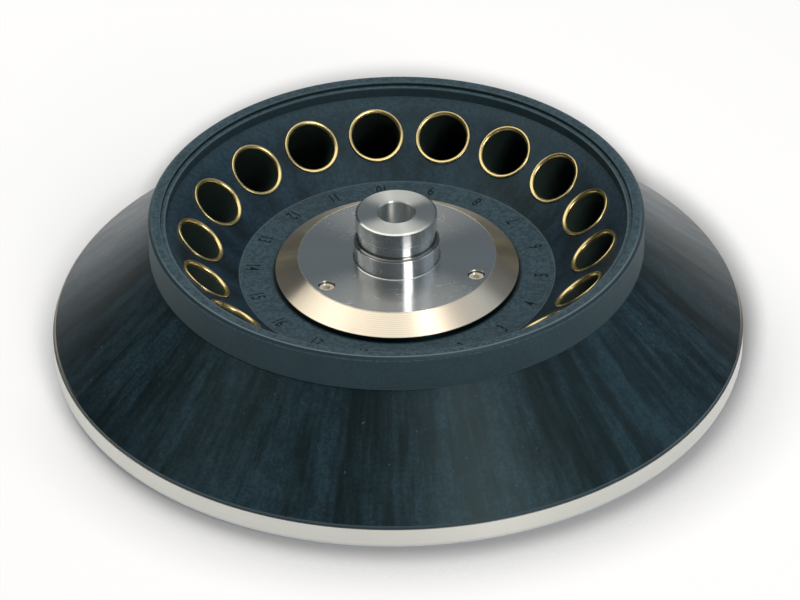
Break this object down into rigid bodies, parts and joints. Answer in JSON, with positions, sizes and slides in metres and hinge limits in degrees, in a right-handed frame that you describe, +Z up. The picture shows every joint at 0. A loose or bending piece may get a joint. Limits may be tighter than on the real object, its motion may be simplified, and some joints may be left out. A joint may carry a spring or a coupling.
{
  "type": "fixed angle rotor",
  "caption": "Fixed angle centrifuge rotor: black bowl with a ring of tilted brass-lipped tube sleeves, conical wind skirt, steel hub with knob, aluminium pan.",
  "frame": {"origin": "centre of the pan's flat foot ring, on the spin axis", "axes": "+Z up along the spin axis; +Y towards tube place 10, -Y towards place 1"},
  "size_m": [0.261, 0.261, 0.0598],
  "materials": {
    "pan_metal": "satin turned",
    "skirt_plastic": "satin black with faint streaks",
    "bowl_plastic": "matte black",
    "core_metal": "turned",
    "hub_steel": "polished, turned",
    "screw_steel": "bright",
    "sleeve_brass": "gold-coloured lip, black inside"
  },
  "bodies": {
    "root": {"base_pan": "pan_metal", "wind_skirt": "skirt_plastic", "tube_bowl": "bowl_plastic", "hub_core": "core_metal", "hub_flange": "hub_steel", "flange_screws": "screw_steel", "pan_screws": "screw_steel", "tube_sleeve_01": "sleeve_brass", "tube_sleeve_02": "sleeve_brass", "tube_sleeve_03": "sleeve_brass", "tube_sleeve_04": "sleeve_brass", "tube_sleeve_05": "sleeve_brass", "tube_sleeve_06": "sleeve_brass", "tube_sleeve_07": "sleeve_brass", "tube_sleeve_08": "sleeve_brass", "tube_sleeve_09": "sleeve_brass", "tube_sleeve_10": "sleeve_brass", "tube_sleeve_11": "sleeve_brass", "tube_sleeve_12": "sleeve_brass", "tube_sleeve_13": "sleeve_brass", "tube_sleeve_14": "sleeve_brass", "tube_sleeve_15": "sleeve_brass", "tube_sleeve_16": "sleeve_brass", "tube_sleeve_17": "sleeve_brass", "tube_sleeve_18": "sleeve_brass"}
  },
  "joints": []
}
